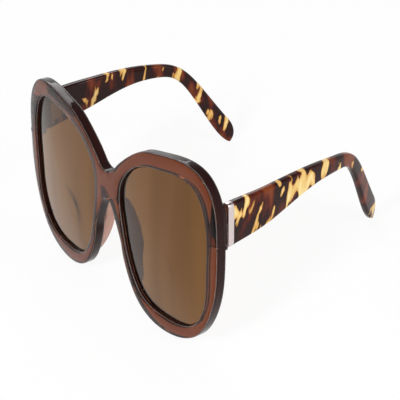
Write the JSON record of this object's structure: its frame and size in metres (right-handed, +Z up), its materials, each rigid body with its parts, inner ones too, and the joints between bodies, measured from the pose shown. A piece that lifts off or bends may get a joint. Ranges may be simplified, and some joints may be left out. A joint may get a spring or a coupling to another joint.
{
  "type": "sunglasses",
  "caption": "Oversized butterfly sunglasses with a translucent brown front, brown tinted lenses with a blended reading zone, nose pads and folding tortoise temples.",
  "frame": {"origin": "centre of the standing sunglasses' box, on the surface that the rims and temple tips stand on", "axes": "+X to the wearer's left, +Y from the front towards the temple tips, +Z up; the wearer looks along -Y"},
  "size_m": [0.1414, 0.1078, 0.0783],
  "materials": {
    "frame_plastic": "polished translucent brown",
    "lens_tint": "polished brown tint",
    "pad_plastic": "translucent light brown",
    "tortoise": "polished tortoise pattern",
    "cap_metal": "bright",
    "hinge_metal": "satin",
    "core_metal": "satin"
  },
  "bodies": {
    "front": {"front_frame": "frame_plastic", "lens_left": "lens_tint", "lens_right": "lens_tint", "nose_pad_left": "pad_plastic", "nose_pad_right": "pad_plastic", "front_hinge_left": "hinge_metal", "front_hinge_right": "hinge_metal", "hinge_screw_left": "hinge_metal", "hinge_screw_right": "hinge_metal"},
    "left_temple": {"temple_left": "tortoise", "temple_hinge_left": "hinge_metal", "end_cap_left": "cap_metal", "core_wire_left": "core_metal"},
    "right_temple": {"temple_right": "tortoise", "temple_hinge_right": "hinge_metal", "end_cap_right": "cap_metal", "core_wire_right": "core_metal"}
  },
  "joints": [
    {"name": "left_temple_fold", "type": "hinge", "parent": "front", "child": "left_temple", "pos_m": [0.0645, -0.02833, 0.05535], "axis": [0, 0.2637, 0.9646], "range_deg": [0, 85]},
    {"name": "right_temple_fold", "type": "hinge", "parent": "front", "child": "right_temple", "pos_m": [-0.0645, -0.02833, 0.05535], "axis": [0, -0.2637, -0.9646], "range_deg": [0, 78]}
  ]
}
